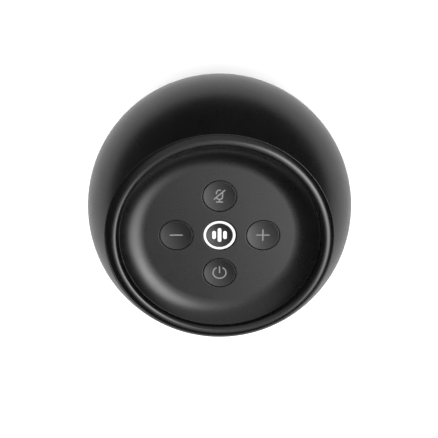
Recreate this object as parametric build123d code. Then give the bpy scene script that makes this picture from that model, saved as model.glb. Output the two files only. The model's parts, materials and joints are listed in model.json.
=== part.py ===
"""Ball-shaped smart home hub: satin shell, dished control panel, slotted grille, down-firing speaker.

Frame: +Z up, origin on the table under the centre of the ball. -Y is the user's side, +Y the back.
All sizes are in millimetres. Each function builds one piece and returns it in its place.
"""

import os
from math import asin, atan2, cos, degrees, hypot, radians, sin, sqrt, tan

from build123d import *

# ---------------------------------------------------------------- overall
ball_radius = 56.0  # outside of the shell
centre_height = 46.5  # centre of the ball above the table
shell_wall = 2.2
grille_wall = 2.0
tongue_wall = 1.0  # lip of the grille ring inside the shell
seam_gap = 0.3  # shadow line between neighbouring covers
base_low = 1.5  # underside of the base plate
base_high = 4.2
grille_high = centre_height - 19.3  # top edge of the slotted ring
fit_gap = 0.05  # between pieces that seat on each other

# ---------------------------------------------------------------- top rim and control panel
shell_top = centre_height + 32.1  # flat top edge of the shell
shell_edge_round = 0.1
rim_outer = 45.75
crest_radius = 42.8  # distance of the bead's crest from the axis
crest_round = 4.0  # radius of its section
crest_height = centre_height + 33.4
flank_angle = 45.0  # slope of the bead at its outer edge
inner_angle = 16.0  # where the bead turns into its tighter inner lip
lip_round = 1.9
lip_angle = 65.0  # slope where the lip ends at the rim's inner wall
rim_bore = 40.4
rim_skirt = 43.0
rim_ledge_bore = 39.0
rim_ledge = 1.5
panel_groove = 0.15  # open groove between rim and panel
panel_edge_round = 0.3
dish_round = 15.5  # section radius of the flank that rises from the floor to the groove
dish_floor_radius = 30.0
floor_height = centre_height + 27.55
panel_thickness = 2.0
panel_edge_thickness = 2.9
panel_under_radius = 32.0

# ---------------------------------------------------------------- buttons
button_spacing = 17.5
button_radius = 6.6
button_gap = 0.25  # between a cap and its hole
button_dish = 0.3  # depth of the finger dish
button_drop = 0.05  # cap edge below the panel floor
button_edge_round = 0.2
button_travel = 0.5
button_flange = button_radius + 1.2
button_flange_thickness = 1.5
flange_gap = 0.15
button_wall = 1.3
stem_radius = 1.5
legend_depth = 0.35
legend_stroke = 0.5
light_ring_outer = button_radius - 0.12
light_ring_inner = light_ring_outer - 1.07
light_guide_length = 7.3

# ---------------------------------------------------------------- control board
board_thickness = 1.6
control_board_high = floor_height - 9.45
control_board_radius = 34.0
control_post_ring = 28.0
control_post_radius = 2.6
switch_size = 6.0
switch_height = 3.5
plunger_radius = 1.7
plunger_gap = 0.3
plunger_length = 3.0
plunger_top = control_board_high + 5.0
led_count = 6
led_size = (1.6, 1.1, 0.7)
microphone_size = (4.0, 3.0, 1.1)
microphone_ring = 32.0
port_radius = 0.35

# ---------------------------------------------------------------- speaker driver, facing down
driver_face = centre_height - 19.0  # underside of the driver's flange
flange_outer = 26.0
flange_inner = 21.0
driver_screw_ring = 24.3
flange_thickness = 1.2
gasket_thickness = 0.8
cone_edge = 18.5
neck_radius = 6.6
neck_height = driver_face + 6.4
cone_thickness = 0.45
basket_top = driver_face + 14.7
basket_wall = 1.2
basket_top_radius = 17.0
top_plate_thickness = 2.5
magnet_thickness = 4.2
yoke_thickness = 2.5
magnet_radius = 15.5
magnet_bore = 8.5
gap_bore = 7.1
pole_radius = 5.95
coil_gap = 0.3
spider_height = driver_face + 9.1
terminal_face = 21.0  # flat pad on the basket's side
terminal_height = driver_face + 7.7
terminal_thickness = 1.0
lead_exit = 27.0  # where the driver's lead leaves the chamber

# ---------------------------------------------------------------- speaker chamber and structure
baffle_thickness = 2.0
chamber_radius = 38.0
chamber_wall = 2.0
chamber_top = control_board_high - board_thickness - 9.0
leg_ring = 29.0
leg_radius = 2.8
leg_foot = 7.0
lug_end = 49.0
lug_width = 9.0
lug_screw_ring = 46.0
boss_height = 8.5
foot_outer = 32.2
foot_inner = 25.8
foot_thickness = 2.7
label_radius = 17.0
label_thickness = 0.3
diffuser_radius = 24.5
diffuser_height = driver_face - base_high - 7.8

# ---------------------------------------------------------------- main board
main_board_low = chamber_top + 3.0
main_board_radius = 35.0
main_post_ring = 31.0
main_post_radius = 2.5

# ---------------------------------------------------------------- grille slots and power inlet
slot_count = 72
slot_width = 1.7
slot_low = base_high + 3.8
slot_high = grille_high - 3.7
cloth_thickness = 0.4
inlet_height = grille_high - 7.2
inlet_bezel_radius = 5.95
inlet_recess_radius = 5.0
inlet_floor = 42.5  # how far back the socket's face is from the axis
inlet_floor_thickness = 1.5
socket_size = 9.0
socket_length = 11.0
socket_bore = 3.2
socket_depth = 9.5
socket_pin_radius = 1.0

# ---------------------------------------------------------------- screws: shank radius, head radius, head height
small_screw = (1.0, 1.9, 1.2)
driver_screw = (1.0, 1.65, 1.0)
large_screw = (1.25, 2.5, 1.8)
thread_clearance = 0.05
diagonals = (45, 135, 225, 315)
quarters = (0, 90, 180, 270)

# places that follow from the sizes above
floor_under = floor_height - panel_thickness
panel_radius = rim_bore - panel_groove
flank_width = panel_radius - dish_floor_radius
panel_edge = floor_height + dish_round - sqrt(dish_round**2 - flank_width**2)
button_hole = button_radius + button_gap
control_board_low = control_board_high - board_thickness
main_board_high = main_board_low + board_thickness
baffle_low = driver_face + flange_thickness + gasket_thickness
baffle_high = baffle_low + baffle_thickness
magnet_low = basket_top + top_plate_thickness
yoke_low = magnet_low + magnet_thickness
grille_low = base_high + seam_gap
shell_low = grille_high + seam_gap
button_top = floor_height - button_drop
flange_top = floor_under - flange_gap
flange_low = flange_top - button_flange_thickness


# ================================================================ helpers
def ball(radius):
    return Pos(0, 0, centre_height) * Sphere(radius)


def disc(radius, low, high):
    """Upright cylinder on the axis between two heights."""
    return Pos(0, 0, low) * Cylinder(
        radius, high - low, align=(Align.CENTER, Align.CENTER, Align.MIN)
    )


def ring(inner, outer, low, high):
    return disc(outer, low, high) - disc(inner, low - 1, high + 1)


def block(x, y, z):
    """Box between two limits on each axis."""
    centre = ((x[0] + x[1]) / 2, (y[0] + y[1]) / 2, (z[0] + z[1]) / 2)
    return Pos(*centre) * Box(x[1] - x[0], y[1] - y[0], z[1] - z[0])


def spun(*outline):
    """Solid of revolution of a closed outline of (radius, height) points."""
    return revolve(make_face(Plane.XZ * Polyline(*outline, close=True)), Axis.Z)


def spun_edges(edges):
    return revolve(make_face(Plane.XZ * Wire(edges)), Axis.Z)


def zone(outer, inner, low, high):
    """Part of a spherical shell between two heights."""
    return (ball(outer) - ball(inner)) & disc(ball_radius + 1, low, high)


def ball_width(radius, height):
    """Radius of the ball's cross-section at a height."""
    return sqrt(radius**2 - (height - centre_height) ** 2)


def around(shape, angles):
    """Copies of a shape turned about the axis, as a list."""
    return [Rot(0, 0, angle) * shape for angle in angles]


def along_y(radius, start, end, height):
    """Cylinder lying along Y at a height."""
    turned = Cylinder(radius, end - start, align=(Align.CENTER, Align.CENTER, Align.MIN))
    return Pos(0, start, height) * Rot(-90, 0, 0) * turned


def screw(size, length, distance):
    """Screw standing head down on z = 0, with a cross recess, at a distance from the axis."""
    shank, head, head_height = size
    body = disc(head, 0, head_height) + disc(shank, head_height, head_height + length)
    recess_width, recess_depth = head * 0.28, head_height * 0.55
    for angle in (0, 90):
        body -= Rot(0, 0, angle) * block(
            (-head * 0.6, head * 0.6), (-recess_width / 2, recess_width / 2), (0, recess_depth)
        )
    return Pos(distance, 0, 0) * body


def screw_hole(size, low, high, distance):
    """Hole that takes a screw's shank."""
    return Pos(distance, 0, 0) * disc(size[0] + thread_clearance, low, high)


def save(name, shape):
    solids = shape if isinstance(shape, list) else [shape]
    whole = solids[0] if len(solids) == 1 else Compound(children=solids)
    export_step(whole, f"parts/{name}.step")


# ================================================================ covers
def upper_shell():
    shell = zone(ball_radius, ball_radius - shell_wall, shell_low, shell_top)
    top_edge = shell.edges().filter_by(GeomType.CIRCLE).filter_by(
        lambda e: abs(e.center().Z - shell_top) < 1e-3
    ).sort_by(SortBy.RADIUS)[-1]
    shell = fillet(top_edge, shell_edge_round)
    web_outer = ball_radius - shell_wall / 2
    boss = Pos(lug_screw_ring, 0, 0) * disc(leg_radius + 0.4, baffle_high, baffle_high + boss_height)
    web = block((lug_screw_ring, web_outer), (-1.5, 1.5), (baffle_high, baffle_high + boss_height))
    web &= ball(web_outer)
    hole = screw_hole(large_screw, baffle_high - 1, baffle_high + boss_height - 1, lug_screw_ring)
    for post in around(boss + web, diagonals):
        shell += post
    for bore in around(hole, diagonals):
        shell -= bore
    return shell


def slot_angles():
    """Angles of the grille slots, leaving out those at the power inlet."""
    step = 360 / slot_count
    clear_angle = degrees(asin((inlet_bezel_radius + slot_width) / inlet_floor)) + step / 2
    return [i * step for i in range(slot_count) if abs(i * step - 90) > clear_angle]


def grille_ring():
    body = zone(ball_radius, ball_radius - grille_wall, grille_low, grille_high)
    tongue_outer = ball_radius - shell_wall - fit_gap
    tongue = zone(tongue_outer, tongue_outer - tongue_wall, grille_high - 2.0, baffle_low)
    tongue += zone(
        ball_radius - grille_wall / 2,
        tongue_outer - tongue_wall,
        grille_high - 2.0,
        grille_high - 0.4,
    )
    half = slot_width / 2
    slot = block((25, ball_radius + 2), (-half, half), (slot_low + half, slot_high - half))
    for end in (slot_low + half, slot_high - half):
        cutter = Cylinder(half, ball_radius, align=(Align.CENTER, Align.CENTER, Align.MIN))
        slot += Pos(25, 0, end) * Rot(0, 90, 0) * cutter
    body -= around(slot, slot_angles())
    body += tongue
    return body - along_y(inlet_bezel_radius + fit_gap, 30, 60, inlet_height)


def grille_cloth():
    outer = ball_radius - grille_wall - fit_gap
    cloth = zone(outer, outer - cloth_thickness, slot_low - 1.5, slot_high + 1.2)
    return cloth - along_y(inlet_bezel_radius + 4 * fit_gap, 30, 60, inlet_height)


def base_plate():
    plate = ball(ball_radius) & disc(ball_radius, base_low, base_high)
    spigot_outer = ball_width(ball_radius - grille_wall, grille_low) - 0.4
    plate += ring(spigot_outer - 2.0, spigot_outer, base_high - 0.5, base_high + 2.4)
    for foot in around(Pos(leg_ring, 0, 0) * disc(4.0, base_high - 0.5, leg_foot), diagonals):
        plate += foot
    shelf_top = inlet_height - socket_size / 2
    plate += block((-6, 6), (29.0, 33.0), (base_high - 0.5, shelf_top))
    plate += block((-6, 6), (29.0, 40.0), (shelf_top - 2.0, shelf_top))
    plate -= ring(foot_inner - fit_gap, foot_outer + fit_gap, 0, foot_thickness)
    shank, head, head_height = large_screw
    pocket = Pos(leg_ring, 0, 0) * disc(head + 0.2, 0, foot_thickness + head_height + 0.4)
    for cut in around(pocket + screw_hole(large_screw, 0, leg_foot + 1, leg_ring), diagonals):
        plate -= cut
    return plate - disc(label_radius + 0.3, base_low - 1, base_low + label_thickness)


def rating_label():
    return disc(label_radius, base_low, base_low + label_thickness)


def foot_ring():
    foot = ring(foot_inner, foot_outer, 0, foot_thickness)
    lower = foot.edges().filter_by(lambda e: abs(e.center().Z) < 1e-3)
    return fillet(lower, 0.5)


def on_arc(centre, radius, angle):
    """Point of a section's arc, with the angle measured outwards from straight up."""
    return (centre[0] + radius * sin(radians(angle)), centre[1] + radius * cos(radians(angle)))


def top_rim():
    bead_centre = (crest_radius, crest_height - crest_round)
    lip_centre = on_arc(bead_centre, crest_round - lip_round, -inner_angle)
    outside = on_arc(bead_centre, crest_round, flank_angle)
    inside = on_arc(bead_centre, crest_round, -inner_angle)
    lip_middle = on_arc(lip_centre, lip_round, -(inner_angle + lip_angle) / 2)
    lip_end = on_arc(lip_centre, lip_round, -lip_angle)
    flank_drop = (rim_outer - outside[0]) * tan(radians(flank_angle))
    flank_end = (rim_outer, max(outside[1] - flank_drop, shell_top + 0.02))
    ledge_top = panel_edge - panel_edge_thickness - fit_gap
    ledge_low = ledge_top - rim_ledge
    bead = ThreePointArc(outside, (crest_radius, crest_height), inside)
    lip = ThreePointArc(inside, lip_middle, lip_end)
    rest = Polyline(
        lip_end,
        (rim_bore, lip_end[1] - 0.4),
        (rim_bore, ledge_top),
        (rim_ledge_bore, ledge_top),
        (rim_ledge_bore, ledge_low),
        (rim_skirt, ledge_low),
        (rim_skirt, shell_top),
        (rim_outer, shell_top),
        flank_end,
        outside,
    )
    return spun_edges([bead, lip, *rest.edges()])


def panel_blank():
    """The dished panel before its holes: a flat floor and one long concave flank."""
    middle = asin(flank_width / dish_round) / 2
    flank_middle = (
        dish_floor_radius + dish_round * sin(middle),
        floor_height + dish_round * (1 - cos(middle)),
    )
    under_edge = panel_edge - panel_edge_thickness
    flank = ThreePointArc((dish_floor_radius, floor_height), flank_middle, (panel_radius, panel_edge))
    rest = Polyline(
        (panel_radius, panel_edge),
        (panel_radius, under_edge),
        (rim_ledge_bore - 0.3, under_edge),
        (panel_under_radius, floor_under),
        (0, floor_under),
        (0, floor_height),
        (dish_floor_radius, floor_height),
    )
    panel = spun_edges([flank, *rest.edges()])
    rim_edge = panel.edges().filter_by(GeomType.CIRCLE).filter_by(
        lambda e: abs(e.radius - panel_radius) < 1e-3 and abs(e.center().Z - panel_edge) < 1e-3
    )
    return fillet(rim_edge, panel_edge_round)


def button_places():
    """Where each button stands on the panel."""
    return {
        "mute": (0, button_spacing),
        "volume_down": (-button_spacing, 0),
        "volume_up": (button_spacing, 0),
        "power": (0, -button_spacing),
        "assistant": (0, 0),
    }


def top_panel():
    panel = panel_blank()
    for x, y in button_places().values():
        panel -= Pos(x, y, 0) * disc(button_hole, floor_under - 1, floor_height + 1)
    post = Pos(control_post_ring, 0, 0) * disc(
        control_post_radius, control_board_high + fit_gap, floor_under + 0.5
    )
    hole = screw_hole(small_screw, control_board_high - 1, control_board_high + 6, control_post_ring)
    for shape in around(post, diagonals):
        panel += shape
    for bore in around(hole, diagonals):
        panel -= bore
    return panel


# ================================================================ buttons
def dished(body, radius):
    """Cuts the finger dish into a cap of that radius."""
    dish_ball = ((radius - 0.3) ** 2 + button_dish**2) / (2 * button_dish)
    return body - Pos(0, 0, button_top - button_dish + dish_ball) * Sphere(dish_ball)


def button_blank():
    """Cap with its retaining flange, stem and hollow underside."""
    cap = disc(button_radius, flange_low, button_top)
    top_edge = cap.edges().filter_by(lambda e: abs(e.center().Z - button_top) < 1e-3)
    cap = fillet(top_edge, button_edge_round)
    cap += disc(button_flange, flange_low, flange_top)
    cap = dished(cap, button_radius)
    hollow_top = button_top - button_dish - button_wall
    cap -= ring(stem_radius, button_radius - button_wall, flange_low - 1, hollow_top)
    return cap + disc(stem_radius, plunger_top, flange_low + 0.5)


def stroke(start, end, width=legend_stroke):
    """Straight round-ended line of a legend."""
    (x0, y0), (x1, y1) = start, end
    length, angle = hypot(x1 - x0, y1 - y0), degrees(atan2(y1 - y0, x1 - x0))
    line = SlotOverall(length + width, width)
    return Pos((x0 + x1) / 2, (y0 + y1) / 2) * Rot(0, 0, angle) * line


def plus_sketch():
    return stroke((-2.45, 0), (2.45, 0)) + stroke((0, -2.45), (0, 2.45))


def minus_sketch():
    return stroke((-2.45, 0), (2.45, 0))


def power_sketch():
    """Open ring with an upright bar in its gap."""
    middle, gap = 2.65, 32
    outer, inner = middle + legend_stroke / 2, middle - legend_stroke / 2
    reach = outer * 1.5
    wedge = make_face(
        Polyline(
            (0, 0),
            (-reach * sin(radians(gap)), reach * cos(radians(gap))),
            (reach * sin(radians(gap)), reach * cos(radians(gap))),
            close=True,
        )
    )
    bow = Circle(outer) - Circle(inner) - wedge
    for side in (-1, 1):
        tip = (side * middle * sin(radians(gap)), middle * cos(radians(gap)))
        bow += Pos(*tip) * Circle(legend_stroke / 2)
    return bow + stroke((0, 0.05), (0, 2.75))


def mute_sketch():
    """Outlined microphone on a stand, crossed by a slash with a gap along its upper side."""
    width, height, middle = 2.9, 4.6, 0.55
    capsule = Pos(0, middle) * Rot(0, 0, 90) * SlotOverall(height, width)
    capsule -= Pos(0, middle) * Rot(0, 0, 90) * SlotOverall(
        height - 2 * legend_stroke, width - 2 * legend_stroke
    )
    slash_start, slash_end = (-2.1, -1.35), (2.1, 2.55)
    shift = 0.45
    gap_start = (slash_start[0] - shift, slash_start[1] + shift)
    gap_end = (slash_end[0] - shift, slash_end[1] + shift)
    capsule -= stroke(gap_start, gap_end, 0.7)
    foot = middle - height / 2
    stand = stroke((0, foot), (0, foot - 0.85)) + stroke((-1.2, foot - 0.85), (1.2, foot - 0.85))
    return capsule + stroke(slash_start, slash_end) + stand


def voice_sketch():
    """Three round-ended level bars, the middle one taller."""
    bar, pitch = 1.5, 2.2
    sketch = stroke((0, -2.4), (0, 2.4), bar)
    for x in (-pitch, pitch):
        sketch += stroke((x, -1.1), (x, 1.1), bar)
    return sketch


def legend_prism(sketch):
    low = button_top - button_dish - legend_depth
    return Pos(0, 0, low) * extrude(sketch, 3.0)


def button_and_legend(place, sketch):
    blank, prism = button_blank(), legend_prism(sketch)
    where = Pos(*place, 0)
    legend = blank & prism
    return where * (blank - prism), [where * solid for solid in legend.solids()]


def assistant_pieces():
    """Centre button: dark cap and glyph inside a light-guide ring that carries the flange."""
    low = button_top - light_guide_length
    guide = ring(light_ring_inner, light_ring_outer, low, button_top)
    guide += ring(light_ring_inner, button_flange, flange_low, flange_top)
    top_edges = guide.edges().filter_by(lambda e: abs(e.center().Z - button_top) < 1e-3)
    guide = fillet(top_edges, button_edge_round)
    cap_radius = light_ring_inner - 0.02
    cap = dished(disc(cap_radius, flange_low, button_top - 0.15), cap_radius)
    hollow_top = button_top - button_dish - button_wall
    cap -= ring(stem_radius, cap_radius - 1.0, flange_low - 1, hollow_top)
    cap += disc(stem_radius, plunger_top, flange_low + 0.5)
    prism = legend_prism(voice_sketch())
    return guide, cap - prism, list((cap & prism).solids())


# ================================================================ control board
def plunger(place):
    return Pos(*place, 0) * disc(plunger_radius, plunger_top - plunger_length, plunger_top)


def switch_bodies():
    half = switch_size / 2
    top = control_board_high + switch_height
    well = plunger_top - plunger_length - button_travel - plunger_gap
    body = block((-half, half), (-half, half), (control_board_high, top))
    body -= disc(plunger_radius + plunger_gap, well, top + 1)
    return [Pos(*place, 0) * body for place in button_places().values()]


def control_board():
    board = disc(control_board_radius, control_board_low, control_board_high)
    hole = screw_hole(small_screw, control_board_low - 1, control_board_high + 1, control_post_ring)
    for bore in around(hole, diagonals):
        board -= bore
    return board


def control_board_screws():
    low = control_board_low - small_screw[2]
    return around(Pos(0, 0, low) * screw(small_screw, 6.0, control_post_ring), diagonals)


def ring_leds():
    length, width, height = led_size
    middle = (light_ring_inner + light_ring_outer) / 2
    led = block(
        (middle - width / 2, middle + width / 2),
        (-length / 2, length / 2),
        (control_board_high, control_board_high + height),
    )
    return around(led, [60 * i + 30 for i in range(led_count)])


def microphones():
    length, width, height = microphone_size
    low = control_board_high
    body = block(
        (microphone_ring - width / 2, microphone_ring + width / 2),
        (-length / 2, length / 2),
        (low, low + height),
    )
    body -= Pos(microphone_ring, 0, 0) * disc(port_radius, low + height - 0.5, low + height + 1)
    return around(body, (0, 180))


# ================================================================ main board
def main_board():
    board = disc(main_board_radius, main_board_low, main_board_high)
    hole = screw_hole(small_screw, main_board_low - 1, main_board_high + 1, main_post_ring)
    for bore in around(hole, diagonals):
        board -= bore
    return board


def main_board_screws():
    upright = Rot(180, 0, 0) * screw(small_screw, 5.0, main_post_ring)
    return around(Pos(0, 0, main_board_high + small_screw[2]) * upright, diagonals)


def rf_shield():
    high = main_board_high + 2.2
    can = block((-13, 7), (-8, 12), (main_board_high, high))
    can -= block((-12.7, 6.7), (-7.7, 11.7), (main_board_high - 1, high - 0.3))
    return can


def main_board_chips():
    low = main_board_high
    return [
        block((-8, 2), (-3, 7), (low, low + 1.2)),
        block((12, 20), (-4, 5), (low, low + 1.0)),
        block((12, 18), (10, 16), (low, low + 2.4)),
        block((-22, -16), (10, 16), (low, low + 2.4)),
        block((-24, -16), (-14, -6), (low, low + 1.0)),
    ]


def board_connectors():
    """Power header and ribbon header on the main board, ribbon header under the control board."""
    return [
        block((-3.5, 3.5), (27, 33), (main_board_high, main_board_high + 3.0)),
        block((-6, 6), (-33, -29), (main_board_high, main_board_high + 1.5)),
        block((-6, 6), (-33, -29), (control_board_low - 1.5, control_board_low)),
    ]


def control_ribbon():
    """Flat cable folded in a U between the two ribbon headers."""
    thickness, header_face, bend_start = 0.3, -33.02, -36.0
    low, high = main_board_high + 0.9, control_board_low - 0.9
    bend = (high - low) / 2
    middle = (low + high) / 2
    outside = Line((header_face, low), (bend_start, low)) + ThreePointArc(
        (bend_start, low), (bend_start - bend, middle), (bend_start, high)
    )
    outside += Line((bend_start, high), (header_face, high))
    inner_low, inner_high = low + thickness, high - thickness
    inner_bend = bend - thickness
    inside = Line((header_face, inner_high), (bend_start, inner_high)) + ThreePointArc(
        (bend_start, inner_high), (bend_start - inner_bend, middle), (bend_start, inner_low)
    )
    inside += Line((bend_start, inner_low), (header_face, inner_low))
    ends = [
        Line((header_face, high), (header_face, inner_high)),
        Line((header_face, inner_low), (header_face, low)),
    ]
    outline = Wire([*outside.edges(), *inside.edges(), *ends])
    return extrude(make_face(Plane.YZ * outline), 5.0, both=True)


def antenna():
    plane = chamber_radius + fit_gap
    return block((-plane - 0.8, -plane), (-10, 10), (chamber_top - 16, chamber_top - 8))


# ================================================================ speaker driver
def driver_basket():
    face_top = driver_face + flange_thickness
    shoulder = flange_inner + basket_wall + 0.6
    basket = spun(
        (flange_inner, driver_face),
        (flange_outer, driver_face),
        (flange_outer, face_top),
        (shoulder, face_top),
        (basket_top_radius, basket_top - basket_wall),
        (basket_top_radius, basket_top),
        (gap_bore + 0.5, basket_top),
        (gap_bore + 0.5, basket_top - basket_wall),
        (basket_top_radius - 1.4, basket_top - basket_wall),
        (basket_top_radius - 0.5, spider_height + 1.3),
        (basket_top_radius - 1.4, spider_height + 1.3),
        (basket_top_radius - 1.4, spider_height + 0.5),
        (basket_top_radius + 0.4, spider_height + 0.5),
        (flange_inner, driver_face + 0.7),
    )
    window = block((10, 26), (-5.5, 5.5), (face_top + 1.5, spider_height - 0.8))
    for cut in around(window, diagonals):
        basket -= cut
    basket += block((18.4, terminal_face), (-4, 4), (terminal_height - 1.7, terminal_height + 1.7))
    hole = screw_hole(driver_screw, driver_face - 1, face_top + 1, driver_screw_ring)
    for bore in around(hole, quarters):
        basket -= bore
    return basket


def driver_terminals():
    """Strip with two solder tags on the basket's pad."""
    outside = terminal_face + terminal_thickness
    strip = block(
        (terminal_face, outside), (-3.5, 3.5), (terminal_height - 2.0, terminal_height + 2.0)
    )
    tag = block((outside - 0.4, outside + 1.2), (1.6, 2.8), (terminal_height, terminal_height + 0.4))
    return strip + tag + mirror(tag, Plane.XZ)


def driver_gasket():
    low = driver_face + flange_thickness
    gasket = ring(flange_inner + 1.9, flange_outer - 0.2, low, baffle_low)
    hole = screw_hole(driver_screw, low - 1, baffle_low + 1, driver_screw_ring)
    for bore in around(hole, quarters):
        gasket -= bore
    return gasket


def driver_screws():
    low = driver_face - driver_screw[2]
    length = flange_thickness + gasket_thickness + baffle_thickness + 1.0
    return around(Pos(0, 0, low) * screw(driver_screw, length, driver_screw_ring), quarters)


def driver_top_plate():
    return ring(gap_bore, magnet_radius - 1.0, basket_top, magnet_low)


def driver_magnet():
    return ring(magnet_bore, magnet_radius, magnet_low, yoke_low)


def driver_yoke():
    return disc(magnet_radius - 0.5, yoke_low, yoke_low + yoke_thickness) + disc(
        pole_radius, basket_top, yoke_low + 0.5
    )


def cone_under(radius):
    """Height of the cone's underside at a radius."""
    slope = (neck_height - driver_face) / (cone_edge - 1.1 - neck_radius)
    return driver_face + slope * (cone_edge - 1.1 - radius)


def driver_cone():
    return spun(
        (cone_edge - 1.1, driver_face),
        (cone_edge, driver_face),
        (cone_edge, driver_face + cone_thickness),
        (cone_edge - 0.9, driver_face + cone_thickness),
        (neck_radius, neck_height + cone_thickness + 0.1),
        (neck_radius, neck_height),
    )


def driver_dust_cap():
    """Shallow spherical cap glued over the neck of the cone, bulging downwards."""
    edge, rise, thickness = neck_radius + 1.4, 2.3, 0.35
    rim = cone_under(edge) - 0.02
    curve = (edge**2 + rise**2) / (2 * rise)
    cap = Sphere(curve) - Sphere(curve - thickness)
    return Pos(0, 0, rim - rise + curve) * cap & disc(edge, rim - rise - 1, rim)


def voice_coil():
    former_inner = pole_radius + coil_gap
    former_outer = neck_radius - fit_gap
    top = basket_top + top_plate_thickness + 1.3
    former = ring(former_inner, former_outer, neck_height - 0.2, top)
    return former + ring(former_outer - 0.1, gap_bore - coil_gap, basket_top - 1.0, top)


def driver_surround():
    lip, inner, outer = 0.4, cone_edge, flange_inner + 0.5
    low = driver_face - lip
    middle, roll = (inner + outer) / 2, (outer - inner) / 2
    outside = ThreePointArc((inner, low), (middle, low - roll), (outer, low))
    inside = ThreePointArc(
        (outer - lip, driver_face), (middle, low - roll + lip * 1.15), (inner + lip, driver_face)
    )
    outer_lip = Polyline(
        (outer, low), (outer + 0.5, low), (outer + 0.5, driver_face), (outer - lip, driver_face)
    )
    inner_lip = Polyline(
        (inner + lip, driver_face), (inner - 1.0, driver_face), (inner - 1.0, low), (inner, low)
    )
    return spun_edges([outside, *outer_lip.edges(), inside, *inner_lip.edges()])


def driver_spider():
    """Corrugated centring disc between the coil former and the basket's ledge."""
    inner, outer = neck_radius + fit_gap, basket_top_radius - 0.2
    thickness, waves, depth = 0.4, 3, 0.5
    flat = 1.4
    span = (outer - inner - 2 * flat) / (2 * waves)
    upper = [(inner, 0.0), (inner + flat, 0.0)]
    for i in range(2 * waves):
        side = depth if i % 2 else -depth
        upper.append((inner + flat + (i + 0.5) * span, side))
    upper += [(outer - flat, 0.0), (outer, 0.0)]
    top = [(r, spider_height + thickness + h) for r, h in upper]
    low = [(r, spider_height + h) for r, h in reversed(upper)]
    return spun(*top, *low)


# ================================================================ chamber, baffle, diffuser
def baffle_plate():
    plate = ring(flange_inner + 1.6, chamber_radius, baffle_low, baffle_high)
    arm = block((chamber_radius - 3, lug_end), (-lug_width / 2, lug_width / 2), (baffle_low, baffle_high))
    leg = Pos(leg_ring, 0, 0) * disc(leg_radius, leg_foot + fit_gap, baffle_low + 0.5)
    for shape in around(arm + leg, diagonals):
        plate += shape
    shank = large_screw[0]
    holes = Pos(lug_screw_ring, 0, 0) * disc(shank + 0.2, baffle_low - 1, baffle_high + 1)
    holes += screw_hole(large_screw, leg_foot - 1, leg_foot + 11.5, leg_ring)
    for cut in around(holes, diagonals):
        plate -= cut
    pilot = screw_hole(driver_screw, baffle_low - 1, baffle_high + 1, driver_screw_ring)
    for bore in around(pilot, quarters):
        plate -= bore
    return plate


def chamber_cup():
    low = baffle_high + fit_gap
    cup = ring(chamber_radius - chamber_wall, chamber_radius, low, chamber_top)
    cup += disc(chamber_radius, chamber_top - chamber_wall, chamber_top)
    post = Pos(main_post_ring, 0, 0) * disc(main_post_radius, chamber_top - 0.5, main_board_low)
    pilot = screw_hole(small_screw, chamber_top - 1.0, main_board_low + 1, main_post_ring)
    for shape in around(post, diagonals):
        cup += shape
    for bore in around(pilot, diagonals):
        cup -= bore
    return cup - Pos(lead_exit, 0, 0) * disc(2.0, chamber_top - 4, chamber_top + 1)


def lead_grommet():
    """Rubber ring that seals the driver's lead where it leaves the chamber."""
    neck = ring(1.05, 2.0, chamber_top - chamber_wall - 0.8, chamber_top + 0.8)
    for low in (chamber_top, chamber_top - chamber_wall - 0.8):
        neck += ring(1.05, 3.0, low, low + 0.8)
    return Pos(lead_exit, 0, 0) * neck


def chamber_screw_set():
    return around(
        Pos(0, 0, baffle_low - large_screw[2]) * screw(large_screw, 9.0, lug_screw_ring), diagonals
    )


def base_screws():
    low = foot_thickness + 0.3
    return around(Pos(0, 0, low) * screw(large_screw, 11.5, leg_ring), diagonals)


def diffuser():
    """Acoustic cone that turns the sound outwards, with a hollow flank."""
    flank = ThreePointArc(
        (diffuser_radius, base_high + 1.0),
        (diffuser_radius * 0.42, base_high + diffuser_height * 0.38),
        (1.5, base_high + diffuser_height),
    )
    rest = Polyline(
        (1.5, base_high + diffuser_height),
        (0, base_high + diffuser_height),
        (0, base_high),
        (diffuser_radius, base_high),
        (diffuser_radius, base_high + 1.0),
    )
    return spun_edges([flank, *rest.edges()])


# ================================================================ power inlet and leads
def inlet_bezel():
    bezel = along_y(inlet_bezel_radius, inlet_floor, ball_radius + 2, inlet_height)
    bezel &= ball(ball_radius)
    recess = inlet_floor + inlet_floor_thickness
    bezel -= along_y(inlet_recess_radius, recess, ball_radius + 4, inlet_height)
    return bezel - along_y(socket_bore + 0.1, inlet_floor - 1, recess + 1, inlet_height)


def inlet_socket():
    half = socket_size / 2
    face = inlet_floor - fit_gap
    body = block(
        (-half, half), (face - socket_length, face), (inlet_height - half, inlet_height + half)
    )
    return body - along_y(socket_bore, face - socket_depth, face + 1, inlet_height)


def inlet_pin():
    face = inlet_floor - fit_gap
    pin = along_y(socket_pin_radius, face - socket_depth, face - 1.0, inlet_height)
    tip = pin.edges().filter_by(lambda e: abs(e.center().Y - (face - 1.0)) < 1e-3)
    return fillet(tip, 0.5)


def tube(points, radii, radius):
    """Round lead along straight runs joined by tangent arcs."""
    path = FilletPolyline(*points, radius=radii)
    return sweep(Plane(path @ 0, z_dir=path % 0) * Circle(radius), path=path)


def power_lead():
    socket_top = inlet_height + socket_size / 2
    header = main_board_high + 1.6
    route = [
        (0, 35.5, socket_top),
        (0, 35.5, socket_top + 2.0),
        (0, 43.0, socket_top + 4.0),
        (0, 45.0, socket_top + 20.0),
        (0, 43.0, header - 4.0),
        (0, 39.0, header),
        (0, 33.0, header),
    ]
    return tube(route, [1.6, 3.5, 20.0, 6.0, 3.5], 1.1)


def driver_lead():
    route = [
        (terminal_face + terminal_thickness, 0, terminal_height),
        (terminal_face + terminal_thickness + 2.5, 0, terminal_height),
        (lead_exit, 0, terminal_height + 8.0),
        (lead_exit, 0, main_board_low),
    ]
    return tube(route, [2.5, 8.0], 1.0)


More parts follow.
